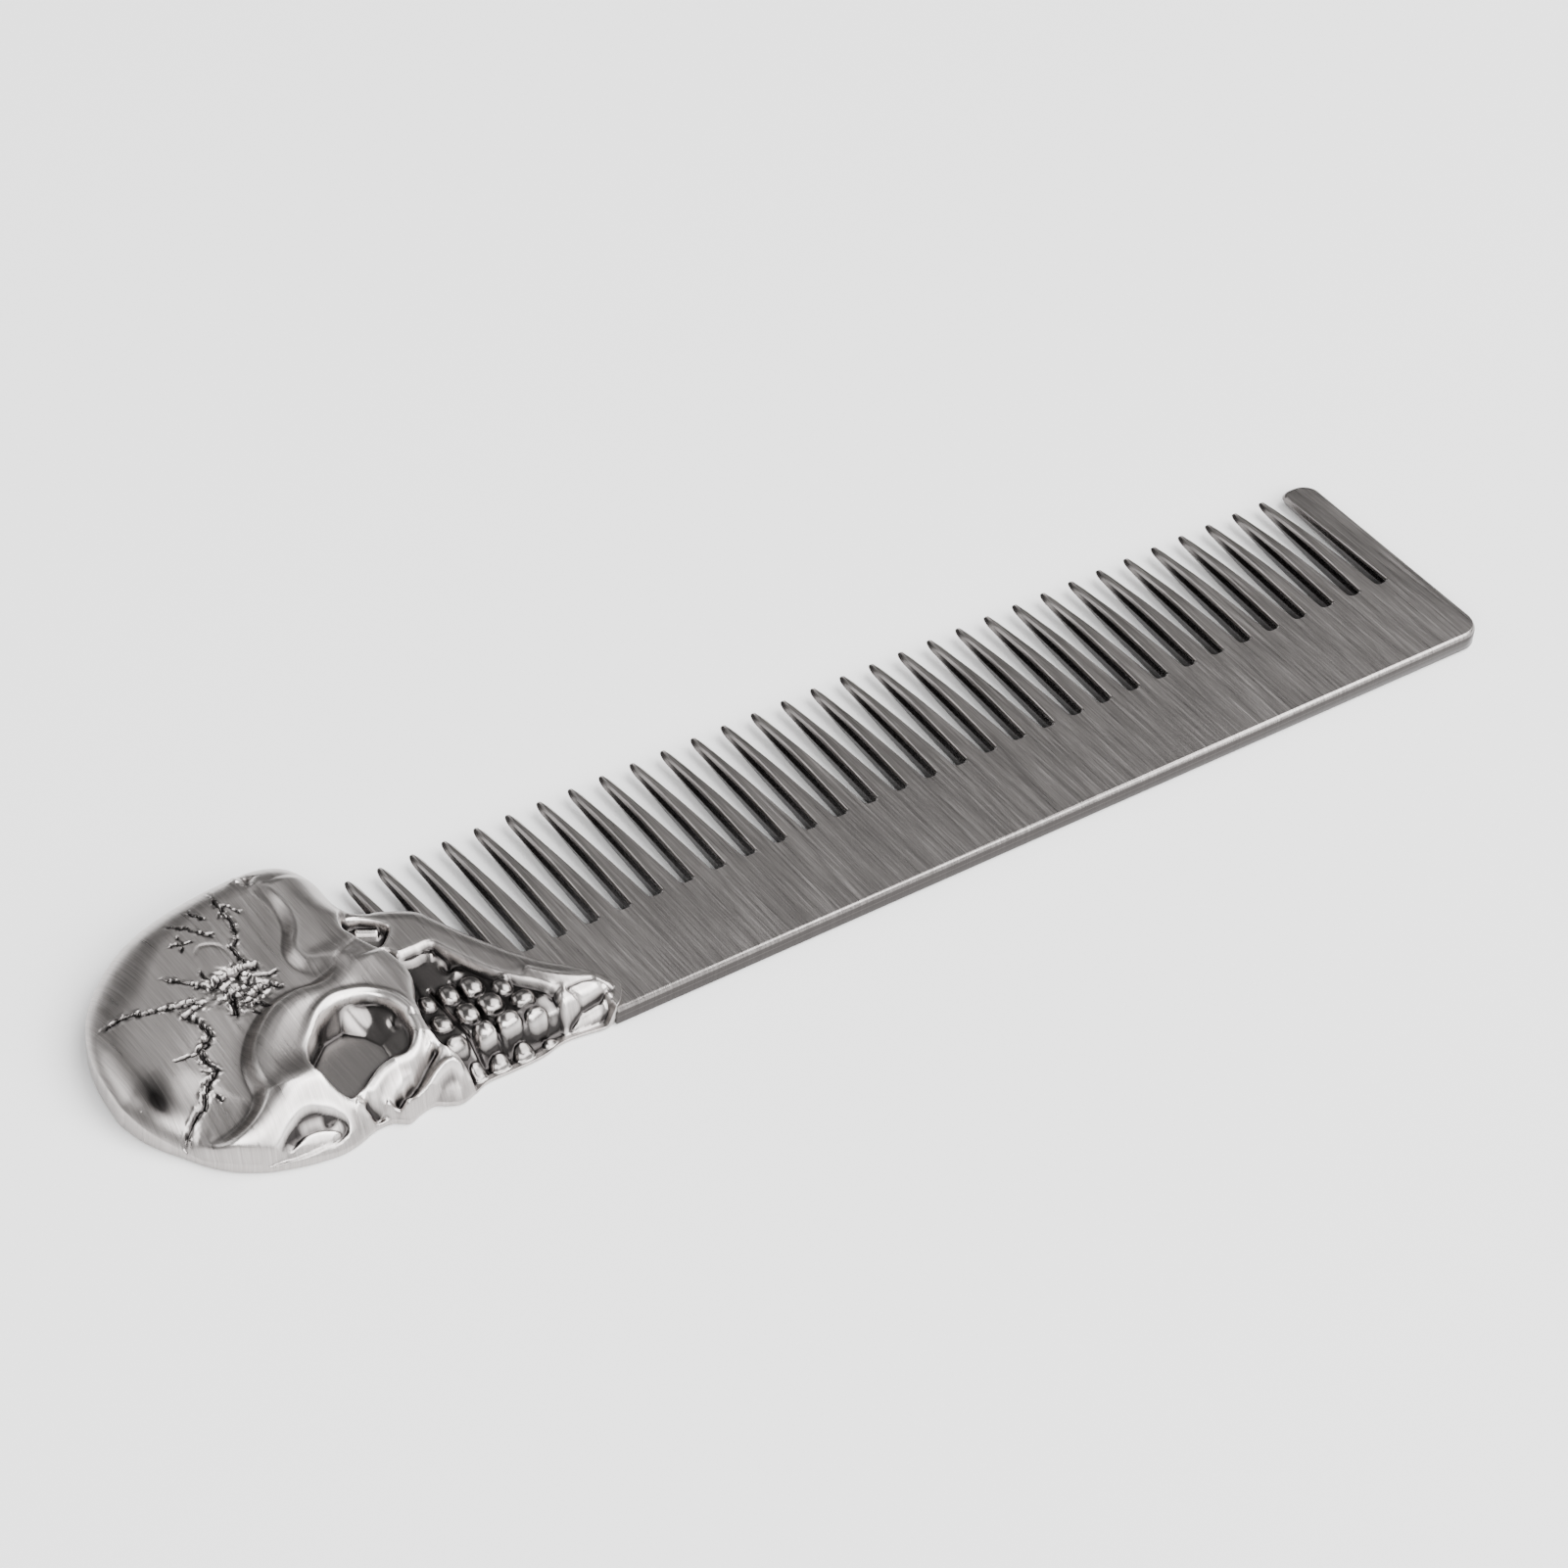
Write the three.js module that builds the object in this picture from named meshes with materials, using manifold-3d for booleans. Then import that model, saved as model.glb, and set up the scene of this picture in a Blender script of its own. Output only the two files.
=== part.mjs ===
// Beard comb with a skull handle. A flat comb blade has a tang at one end, and a cast skull relief sits on
// it: the tang lies in a pocket in the casting's back, and three countersunk rivets hold the two together.
// Millimetres. X runs along the blade to the guard tooth, Y towards the tooth tips, Z up from the back.
// The shapes are drawn in the blade's own frame: x = 0 on the first tooth, y = 0 on the slot bottoms,
// z = 0 on the back. The group then moves them so that the comb's box is centred over the origin.
import * as THREE from "three";
import { mergeVertices } from "three/addons/utils/BufferGeometryUtils.js";
import Module from "manifold-3d";

const wasm = await Module();
wasm.setup();

// ---- driving dimensions -------------------------------------------------------------------------
const PLATE = 1.9; // blade thickness
const PITCH = 3.2; // tooth to tooth
const TEETH = 32; // slender teeth, without the guard tooth
const TOOTH_LENGTH = 15.3; // slot bottom to tip
const SPINE = 9.75; // slot bottom to the spine's edge
const BEVEL = 0.3; // how far the faces stand in from the widest line of every edge

const TOOTH_ROOT = 1.0; // half width of a tooth at the slot bottom
const TOOTH_NECK = 0.6; // half width where the round tip begins
const TIP_LENGTH = 2.0; // length of the round tip
const SLOT_CORNER = 0.45; // radius in the slot's bottom corners
const THINNING_FROM = 6; // the blade gets thinner from here to the tips
const TIP_THINNING = 0.65; // share of the thickness lost at the tips

const GUARD_FROM = (TEETH - 0.5) * PITCH + 0.6; // the guard tooth's inner flank
const GUARD_END = 104.8; // the blade's far end
const GUARD_INNER_CORNER = 0.9;
const GUARD_OUTER_CORNER = 1.6;
const SPINE_CORNER = 2.2;

const TANG_END = -20; // the tang's far end, under the crown
const TANG_TOP = 6.4;
const TANG_BOTTOM = -7.2;
const TANG_SHOULDER = 10.2; // where the spine steps in to the tang, under the chin
const TANG_CORNER = 2.5;

const FIT_GAP = 0.1; // clearance of the tang in its pocket
const RIVET = { shank: 1.0, head: 1.9, headDepth: 0.8, sink: 0.05, top: 2.9, gap: 0.06 };
const RIVETS = [
  ["rivet_crown", -17, 3.2],
  ["rivet_cheek", -5.6, 2.2],
  ["rivet_chin", 7.2, -5.6],
];

// ---- small helpers ------------------------------------------------------------------------------
const clamp01 = (t) => Math.min(1, Math.max(0, t));
const ease = (t) => clamp01(t) ** 2 * (3 - 2 * clamp01(t));

// Points of a circular arc, both ends included, angles in degrees.
function arc(cx, cy, r, from, to, steps) {
  return Array.from({ length: steps + 1 }, (_, i) => {
    const a = THREE.MathUtils.degToRad(from + ((to - from) * i) / steps);
    return [cx + r * Math.cos(a), cy + r * Math.sin(a)];
  });
}

// A closed solid from rings of equal length, each a list of [x, y, z], lowest ring first.
function loft(rings) {
  const n = rings[0].length;
  const index = [];
  for (let k = 0; k + 1 < rings.length; k++)
    for (let i = 0; i < n; i++) {
      const j = (i + 1) % n;
      const [a, b, c, d] = [k * n + i, k * n + j, (k + 1) * n + j, (k + 1) * n + i];
      index.push(a, b, c, a, c, d);
    }
  const cap = (ring) => THREE.ShapeUtils.triangulateShape(ring.map(([x, y]) => new THREE.Vector2(x, y)), []);
  const top = (rings.length - 1) * n;
  for (const [a, b, c] of cap(rings[0])) index.push(c, b, a);
  for (const [a, b, c] of cap(rings.at(-1))) index.push(top + a, top + b, top + c);
  const geometry = new THREE.BufferGeometry();
  geometry.setAttribute("position", new THREE.Float32BufferAttribute(rings.flat(2), 3));
  return geometry.setIndex(index);
}

// A three.js geometry as a manifold-3d solid, and back.
function solid(geometry) {
  const bare = geometry.clone();
  bare.deleteAttribute("normal");
  bare.deleteAttribute("uv");
  const merged = mergeVertices(bare, 1e-4);
  return new wasm.Manifold(
    new wasm.Mesh({
      numProp: 3,
      vertProperties: merged.attributes.position.array,
      triVerts: new Uint32Array(merged.index.array),
    }),
  );
}

function geometryOf(made) {
  const mesh = made.getMesh();
  const geometry = new THREE.BufferGeometry();
  geometry.setAttribute("position", new THREE.BufferAttribute(mesh.vertProperties, 3));
  return geometry.setIndex(new THREE.BufferAttribute(mesh.triVerts, 1));
}

// ---- comb blade ---------------------------------------------------------------------------------
// Half width of a tooth at height y above the slot bottom: a straight taper, then an elliptical tip.
function toothHalfWidth(y) {
  const neck = TOOTH_LENGTH - TIP_LENGTH;
  if (y <= neck) return TOOTH_ROOT + ((TOOTH_NECK - TOOTH_ROOT) * y) / neck;
  return TOOTH_NECK * Math.sqrt(Math.max(0, 1 - ((y - neck) / TIP_LENGTH) ** 2));
}

// Share of the plate's thickness that is left at height y.
const thickness = (y) => 1 - TIP_THINNING * clamp01((y - THINNING_FROM) / (TOOTH_LENGTH - THINNING_FROM)) ** 2;

// One flank of a tooth from the slot corner to just below the tip, as [half width, y].
function flank(inset) {
  const neck = TOOTH_LENGTH - TIP_LENGTH;
  const heights = [SLOT_CORNER, 5, 9, neck, neck + 0.9, neck + 1.6, neck + 1.9];
  const narrower = 1 - inset / TOOTH_ROOT;
  const shorter = 1 - (2 * inset) / TOOTH_LENGTH;
  return heights.map((y) => [toothHalfWidth(y) * narrower, y === SLOT_CORNER ? y - inset : y * shorter]);
}

// The blade's outline, counter-clockwise from the shoulder under the chin, standing in by inset.
function bladeOutline(inset) {
  const points = [[TANG_SHOULDER + inset, -SPINE + inset]];
  const end = GUARD_END - inset;
  const guardTop = TOOTH_LENGTH - 0.15 - inset;
  const corner = (r) => Math.max(r - inset, 0.2);

  points.push(...arc(GUARD_END - SPINE_CORNER, SPINE_CORNER - SPINE, corner(SPINE_CORNER), -90, 0, 5));
  const outer = corner(GUARD_OUTER_CORNER);
  points.push(...arc(end - outer, guardTop - outer, outer, 0, 90, 4));
  const inner = corner(GUARD_INNER_CORNER);
  points.push(...arc(GUARD_FROM + inset + inner, guardTop - inner, inner, 90, 180, 3));

  const side = flank(inset);
  for (let i = TEETH - 1; i >= 0; i--) {
    // The slot on the tooth's guard side: its two bottom corners.
    const x = i * PITCH;
    const right = i === TEETH - 1 ? GUARD_FROM + inset : x + PITCH - side[0][0];
    const left = x + side[0][0];
    points.push(...arc(right - SLOT_CORNER, SLOT_CORNER - inset, SLOT_CORNER, 0, -90, 2));
    points.push(...arc(left + SLOT_CORNER, SLOT_CORNER - inset, SLOT_CORNER, -90, -180, 2).slice(0, -1));
    points.push(...side.map(([w, y]) => [x + w, y]));
    points.push([x, TOOTH_LENGTH - 2 * inset]);
    const down = i > 0 ? side.slice(1) : side.filter(([, y]) => y > TANG_TOP + 1);
    points.push(...down.reverse().map(([w, y]) => [x - w, y]));
  }

  const top = TANG_TOP - inset;
  const bottom = TANG_BOTTOM + inset;
  points.push([-toothHalfWidth(TANG_TOP) + inset, top]);
  points.push(...arc(TANG_END + inset + TANG_CORNER, top - TANG_CORNER, TANG_CORNER, 90, 180, 4));
  points.push(...arc(TANG_END + inset + TANG_CORNER, bottom + TANG_CORNER, TANG_CORNER, 180, 270, 4));
  points.push([TANG_SHOULDER + inset, bottom]);
  return points;
}

// The outline at the back, at mid-thickness where it is widest, and at the front.
function combBlade() {
  const ring = (inset, side) =>
    bladeOutline(inset).map(([x, y]) => [x, y, (PLATE / 2) * (1 + side * thickness(y))]);
  return RIVETS.reduce(
    (made, [, x, y]) => made.subtract(solid(rivetShape(RIVET.gap)).translate([x, y, 0])),
    solid(loft([ring(BEVEL, -1), ring(0, 0), ring(BEVEL, 1)])),
  );
}

// ---- rivet: countersunk head at the back, round shank ----------------------------------------------
function rivetShape(gap) {
  const low = gap ? -1 : RIVET.sink;
  const profile = [
    [0, low],
    [RIVET.head + gap, low],
    [RIVET.head + gap, RIVET.sink + 0.2],
    [RIVET.shank + gap, RIVET.headDepth + 0.2],
    [RIVET.shank + gap, RIVET.top + gap],
    [0, RIVET.top + gap],
  ];
  return new THREE.LatheGeometry(profile.map(([r, z]) => new THREE.Vector2(r, z)), 24).rotateX(Math.PI / 2);
}

// ---- skull casting ------------------------------------------------------------------------------
// Outline of the casting where it meets the back, counter-clockwise from the crown.
const SKULL_OUTLINE = new THREE.CatmullRomCurve3(
  [
    [-30, 2.1], [-29.8, 0.1], [-29.1, -2], [-27.6, -4.4], [-25.6, -7.2], [-23.1, -9], [-20.1, -10.1],
    [-17, -10.6], [-15, -10.4], [-13, -9.8], [-11.4, -9.8], [-10.2, -10.5], [-8.9, -10.1], [-7.5, -9.9],
    [-6.6, -10.4], [-5.4, -10.8], [-3.9, -10.4], [-2.4, -9.9], [0.1, -9.9], [3, -9.8], [4.7, -9.4],
    [5.9, -9.3], [7.4, -9.45], [9.2, -9.7], [10.4, -9.5], [11.5, -8.3], [11.8, -7.3], [11.1, -6.1],
    [9.6, -4.7], [7.8, -3], [6.3, -1], [5, 1.2], [3.9, 3.3], [2.8, 5.7], [2.1, 7.2], [0.9, 8.2],
    [-0.6, 9], [-1.8, 9.5], [-2.8, 10.3], [-3.2, 11.8], [-3.2, 14.6], [-3.8, 16.6], [-5, 18],
    [-6.8, 18.8], [-9.2, 19], [-12.9, 18.7], [-17, 17.9], [-21.1, 16.2], [-24.9, 13.5], [-27.7, 10.4],
    [-29.4, 6.4],
  ].map(([x, y]) => new THREE.Vector3(x, y, 0)),
  true,
);
const SKULL_CENTRE = [-6, 1.5]; // every point of the outline is in sight of this one
const SPOKES = 108;
const RINGS = 17;
const WALL = 1.4; // height of the upright wall at the casting's edge
const FACE_WALL = 0.6; // its height under the far eye, the nose and the chin
const SHOULDER_TOP = 4.3; // height that the rounded shoulder reaches
const SHOULDER_WIDTH = 3.2;
const CROWN = 0.9; // further rise from the shoulder to the middle of the cranium
const JAW_DROP = 0.9; // how much lower the jaw lies than the cranium

// Raised and sunken forms of the face: a line of points, its half width and its height.
const FORMS = [
  { line: [[-20.5, -8.2], [-19.3, -5.6], [-17.6, -1.4], [-14.4, 1.2], [-10.6, 1.8], [-7.4, 2.6]], width: 1.9, rise: 1.0 },
  { line: [[-7.2, 15.4], [-6.8, 12.4], [-7.4, 9.6], [-7.4, 5.6]], width: 2.0, rise: 0.7 },
  { line: [[-5.4, 1.5], [-5.2, -2.5]], width: 1.6, rise: 0.9 },
  { line: [[-10.8, 13.5], [-12, 8.5], [-15.5, 5.4], [-20.3, 2], [-22.4, -3.4]], width: 3.4, rise: -1.1 },
  { line: [[-14.3, -5.8], [-12.2, -3.6], [-10.2, -2.8]], width: 2.5, rise: -3.1 },
  { line: [[-20.4, -10.2], [-16.8, -9.9]], width: 1.1, rise: -1.2 },
  { line: [[-12.2, -8.9], [-8.6, -6.9]], width: 1.0, rise: -1.1 },
  { line: [[-5.2, -8.7], [-4.6, -8.9]], width: 1.5, rise: 0.5 },
  { line: [[-3.9, 6.6], [-2.4, 7.6]], width: 1.3, rise: -1.3 },
  { line: [[1.2, 6.6], [2.2, 3.4], [4.4, -0.2], [7.2, -4], [9.6, -6.7]], width: 1.3, rise: 0.8 },
  { line: [[-1.5, 2.2], [1.6, -0.6], [3.4, -3.4]], width: 1.2, rise: -0.5 },
];
const TOOTH_ROWS = [-2, -4.2, -6.3, -8.3]; // teeth of the skull: their middles along Y
const TOOTH_COLUMNS = [-1.7, 0.5]; // the upper and the lower row
const BEAD = { width: 0.95, rise: 0.6 };

// Distance from p to the line through the points.
function toLine(px, py, line) {
  let best = Infinity;
  for (let i = 0; i + 1 < line.length; i++) {
    const [[ax, ay], [bx, by]] = [line[i], line[i + 1]];
    const t = clamp01(((px - ax) * (bx - ax) + (py - ay) * (by - ay)) / ((bx - ax) ** 2 + (by - ay) ** 2));
    best = Math.min(best, Math.hypot(px - ax - t * (bx - ax), py - ay - t * (by - ay)));
  }
  return best;
}

// Height of the relief at x, y, where edge is the outline as a closed line of points.
function reliefHeight(x, y, edge) {
  const inward = toLine(x, y, edge);
  const s = 1 - clamp01(inward / SHOULDER_WIDTH);
  const face = ease((x + 26) / 9) * ease((-3.5 - y) / 4) * ease((10.2 - x) / 1);
  const wall = WALL + (FACE_WALL - WALL) * face;
  const rise = Math.sqrt(1 - s * s) * (1 - 0.7 * face) + (1 - s) * 0.7 * face;
  let z = wall + (SHOULDER_TOP - wall) * rise + CROWN * ease(inward / 12);
  z -= JAW_DROP * ease((x + 6.5) / 5) * ease(inward / 2);
  for (const { line, width, rise } of FORMS) {
    const fall = Math.exp(-((toLine(x, y, line) / width) ** 4));
    z += rise * fall * ease(inward / 1.2);
  }
  for (const cy of TOOTH_ROWS)
    for (const cx of TOOTH_COLUMNS) {
      const d = Math.hypot(x - cx, y - cy);
      z += BEAD.rise * Math.exp(-((d / BEAD.width) ** 4)) * ease(inward / 0.8);
    }
  return Math.max(z, wall);
}

// Rings drawn in from the outline towards the centre, each at the height of the relief.
function skullCasting() {
  const outline = SKULL_OUTLINE.getSpacedPoints(SPOKES).slice(0, SPOKES).map((p) => [p.x, p.y]);
  const edge = [...outline, outline[0]];
  const rings = [outline.map(([x, y]) => [x, y, 0])];
  for (let k = 0; k < RINGS; k++) {
    const out = 1 - (k / RINGS) ** 1.15;
    rings.push(
      outline.map(([ox, oy]) => {
        const x = SKULL_CENTRE[0] + (ox - SKULL_CENTRE[0]) * out;
        const y = SKULL_CENTRE[1] + (oy - SKULL_CENTRE[1]) * out;
        return [x, y, reliefHeight(x, y, edge)];
      }),
    );
  }
  return RIVETS.reduce(
    (made, [, x, y]) => made.subtract(solid(rivetShape(RIVET.gap)).translate([x, y, 0])),
    solid(loft(rings)).subtract(tangPocket()),
  );
}

// The room that the casting leaves for the tang and for the blade beyond it, as one prism.
function tangPocket() {
  const beyond = 40;
  const corners = [
    [TANG_END - FIT_GAP, TANG_BOTTOM - FIT_GAP],
    [TANG_SHOULDER - FIT_GAP, TANG_BOTTOM - FIT_GAP],
    [TANG_SHOULDER - FIT_GAP, -beyond],
    [beyond, -beyond],
    [beyond, beyond],
    [-TOOTH_ROOT - FIT_GAP, beyond],
    [-TOOTH_ROOT - FIT_GAP, TANG_TOP + FIT_GAP],
    [TANG_END - FIT_GAP, TANG_TOP + FIT_GAP],
  ];
  const shape = new THREE.Shape(corners.map(([x, y]) => new THREE.Vector2(x, y)));
  const room = new THREE.ExtrudeGeometry(shape, { depth: PLATE + FIT_GAP + 1, bevelEnabled: false });
  return solid(room).translate([0, 0, -1]);
}

// ---- the comb -----------------------------------------------------------------------------------
const ANTIQUE_METAL = new THREE.MeshStandardMaterial({ color: 0x8a8785, metalness: 1, roughness: 0.35 });
const RIVET_METAL = new THREE.MeshStandardMaterial({ color: 0x9c9a98, metalness: 1, roughness: 0.4 });

function part(name, geometry, material) {
  const mesh = new THREE.Mesh(geometry, material);
  mesh.name = name;
  return mesh;
}

const comb = new THREE.Group();
comb.add(part("comb_blade", geometryOf(combBlade()), ANTIQUE_METAL.clone()));
comb.add(part("skull_casting", geometryOf(skullCasting()), ANTIQUE_METAL.clone()));
for (const [name, x, y] of RIVETS) {
  const rivet = part(name, geometryOf(solid(rivetShape(0))), RIVET_METAL.clone());
  rivet.position.set(x, y, 0);
  comb.add(rivet);
}

const box = new THREE.Box3().setFromObject(comb);
comb.position.set(-(box.min.x + box.max.x) / 2, -(box.min.y + box.max.y) / 2, -box.min.z);

export default comb;
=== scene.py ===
import math

import bpy
import numpy as np
from mathutils import Matrix, Vector


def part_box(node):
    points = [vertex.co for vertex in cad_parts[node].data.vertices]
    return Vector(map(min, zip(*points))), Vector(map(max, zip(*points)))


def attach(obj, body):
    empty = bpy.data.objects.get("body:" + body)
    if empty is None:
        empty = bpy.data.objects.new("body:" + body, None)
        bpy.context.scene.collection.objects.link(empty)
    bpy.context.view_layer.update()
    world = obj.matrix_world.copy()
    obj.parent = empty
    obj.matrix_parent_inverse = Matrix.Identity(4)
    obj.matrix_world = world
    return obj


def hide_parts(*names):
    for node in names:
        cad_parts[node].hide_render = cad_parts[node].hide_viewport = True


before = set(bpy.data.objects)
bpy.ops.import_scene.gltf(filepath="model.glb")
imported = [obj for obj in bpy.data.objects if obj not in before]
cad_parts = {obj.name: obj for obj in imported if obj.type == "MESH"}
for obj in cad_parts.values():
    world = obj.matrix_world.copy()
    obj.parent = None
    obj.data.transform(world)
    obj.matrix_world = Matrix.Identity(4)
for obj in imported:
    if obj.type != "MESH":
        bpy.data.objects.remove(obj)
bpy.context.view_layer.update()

# The beard comb's looks: a brushed blade with double-drafted teeth, a skull relief struck in fine detail over
# its near end, and three filed rivet heads in the flat back. Shapes are drawn in millimetres in the blade's
# own frame: x = 0 on the first tooth, y = 0 on the slot bottoms, z = 0 on the back.

MM = 0.001
BLADE_LOW, BLADE_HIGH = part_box("comb_blade")

# ---- the blade's sizes ----------------------------------------------------------------------------
PLATE = (BLADE_HIGH.z - BLADE_LOW.z) / MM
PITCH = 3.2
TEETH = 32
TOOTH_LENGTH = 15.3
SPINE = 9.75
TOOTH_ROOT = 1.0
TOOTH_NECK = 0.6
TIP_LENGTH = 2.0
SLOT_CORNER = 0.45
CORNER_STEPS = 6  # pieces in the arc of a slot's or the tang's corner
ROOT_BEVEL = 0.2
THINNING_FROM = 6.0
TIP_THINNING = 0.65
GUARD_FROM = (TEETH - 0.5) * PITCH + 0.6
GUARD_END = 104.8
GUARD_TOP = TOOTH_LENGTH - 0.15
GUARD_CORNER_STEPS = 8
TANG_END = -20.0
TANG_TOP = 6.4
TANG_BOTTOM = -7.2
TANG_SHOULDER = 10.2
TANG_CORNER = 2.5
FIT_GAP = 0.1
RIVETS = {"rivet_crown": (-17.0, 3.2), "rivet_cheek": (-5.6, 2.2), "rivet_chin": (7.2, -5.6)}
RIVET_HOLE = ((-1.0, 1.96), (0.25, 1.96), (1.0, 1.06), (2.96, 1.06))  # height and radius up the countersink
HOLE_SIDES = 48

ORIGIN = np.array([BLADE_HIGH.x / MM - GUARD_END, BLADE_LOW.y / MM + SPINE, BLADE_LOW.z / MM])

# ---- lines and regions drawn on the relief, millimetres ---------------------------------------------
OUTLINE = [
    (-30, 2.1), (-29.8, 0.1), (-29.1, -2), (-27.6, -4.4), (-25.6, -7.2), (-23.1, -9), (-20.1, -10.1),
    (-17, -10.6), (-15, -10.4), (-13, -9.8), (-11.4, -9.8), (-10.2, -10.5), (-8.9, -10.1), (-7.5, -9.9),
    (-6.6, -10.4), (-5.4, -10.8), (-3.9, -10.4), (-2.4, -9.9), (0.1, -9.9), (3, -9.8), (4.7, -9.4),
    (5.9, -9.3), (7.4, -9.45), (9.2, -9.7), (10.4, -9.5), (11.5, -8.3), (11.8, -7.3), (11.1, -6.1),
    (9.6, -4.7), (7.8, -3), (6.3, -1), (5, 1.2), (3.9, 3.3), (2.8, 5.7), (2.1, 7.2), (0.9, 8.2),
    (-0.6, 9), (-1.8, 9.5), (-2.8, 10.3), (-3.2, 11.8), (-3.2, 14.6), (-3.8, 16.6), (-5, 18),
    (-6.8, 18.8), (-9.2, 19), (-12.9, 18.7), (-17, 17.9), (-21.1, 16.2), (-24.9, 13.5), (-27.7, 10.4),
    (-29.4, 6.4),
]
# Firm edges: a smooth line, and the corners that shut in the side it belongs to.
TEMPLE_EDGE = [
    (-9.4, 17.4), (-9, 15.6), (-8.5, 13.5), (-8.6, 11.5), (-9.2, 9.5), (-10.4, 7.7), (-10.7, 6.3),
    (-10.3, 4.9), (-9, 3.9), (-9.6, 3.1), (-10.9, 2.7), (-12.6, 3), (-14.6, 2.7), (-16.5, 1.8),
    (-18.5, 0.2), (-20, -1.7), (-20.6, -3.4), (-21, -5.2), (-22.3, -6.4), (-24.7, -6.7), (-27, -6),
    (-28.8, -4.8),
]
FACE_SIDE = [(-40, -6), (-40, -40), (40, -40), (40, 40), (-9, 40)]
JAW_EDGE = [
    (-2.6, 11), (-4.7, 8.8), (-5.4, 7.2), (-5.1, 6), (-4.6, 4.5), (-3.8, 2.9), (-3.5, 0.9), (-3.7, -0.6),
    (-4.4, -1.9), (-5, -3), (-5.4, -4.6), (-5.6, -6.2), (-5.2, -7.6), (-4.2, -8.8), (-3.4, -12),
]
JAW_SIDE = [(40, -12), (40, 12)]
MOUTH_EDGE = [
    (-4.3, 4.6), (-3.2, 4.1), (-2.6, 3.3), (-1, 3.2), (0.3, 3.1), (0.9, 1.9), (1.7, 0), (2.7, -2), (4.1, -3.9),
    (5.4, -5.4), (6, -6.4), (6, -7.8), (5.6, -9), (5, -12),
]
MOUTH_SIDE = [(-20, -12), (-20, 4)]
EYE = [
    (-16.5, -5.7), (-15.6, -3.5), (-14.1, -2.05), (-12.7, -0.9), (-11.2, -0.3), (-9.7, -0.35), (-8.2, -0.75),
    (-7.2, -1.75), (-6.7, -3.3), (-6.8, -4.9), (-7.3, -6.2), (-8.4, -7), (-10.4, -7.1), (-11.4, -7.3),
    (-13.2, -8.1), (-14.4, -8.4), (-15.7, -7.4),
]
EYE_FLOOR = [
    (-15.9, -5), (-15.1, -3.5), (-13, -1.9), (-11.1, -1.6), (-9.8, -3), (-9.2, -4.4), (-9.4, -5.9),
    (-11.2, -6.6), (-12.9, -7.7), (-14.5, -8.2), (-15.8, -6.9),
]
FAR_EYE = [
    (-23.2, -9.1), (-21.9, -9.1), (-20.5, -8.6), (-19.1, -8.2), (-17.8, -8.2), (-16.4, -8.7), (-15.5, -9.3),
    (-15.7, -9.9), (-17, -10.2), (-19, -10.15), (-21, -9.8),
]
CHEEK_HOLLOW = [
    (-5, 7.9), (-4.4, 8.7), (-3.1, 8.5), (-1.7, 6.9), (-2.1, 5.9), (-3.6, 5), (-4.8, 6.7),
]

# Soft ridges and furrows: a smooth line, its half width and its height.
RIDGES = [
    ([(-15.5, -6), (-17.8, -6.3), (-20.2, -7.4), (-23, -8), (-25.2, -7.4), (-27.2, -5.9)], 1.5, 0.7),
    ([(-5.2, 3.5), (-4.9, 0.5), (-5.6, -2), (-6, -4.5)], 1.4, 0.4),
    ([(-6.3, 15.2), (-6.4, 12.5), (-7.3, 9.5), (-7.6, 6.8), (-6.6, 4.8)], 2.3, 0.3),
    ([(-8.6, 16.9), (-9.3, 15.9)], 0.45, -0.35),
    ([(-9.6, 17.6), (-9.9, 16.7)], 0.4, 0.25),
    ([(-10.9, -10.2), (-9.4, -10), (-8.2, -9.6), (-6.9, -9.1), (-5.7, -9.1), (-4.7, -9.7)], 0.38, 1.0),
    ([(-10.9, -9.4), (-9.6, -9.1), (-8.4, -8.6), (-7, -7.9), (-5.8, -7.4)], 0.34, -0.8),
    ([(-9, -8.7), (-7.5, -8.1), (-6.2, -7.1)], 0.3, 0.3),
    ([(-14.3, -8.7), (-13.1, -9.3)], 0.45, 0.35),
    ([(-13.3, -8.5), (-12.5, -9.3), (-12.2, -10.2)], 0.5, -1.1),
    ([(-11.7, -9.1), (-11, -9.9)], 0.3, 0.55),
    ([(5, -3.4), (6.4, -5), (8, -6.1), (10, -6.8)], 0.5, 0.3),
]

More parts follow.
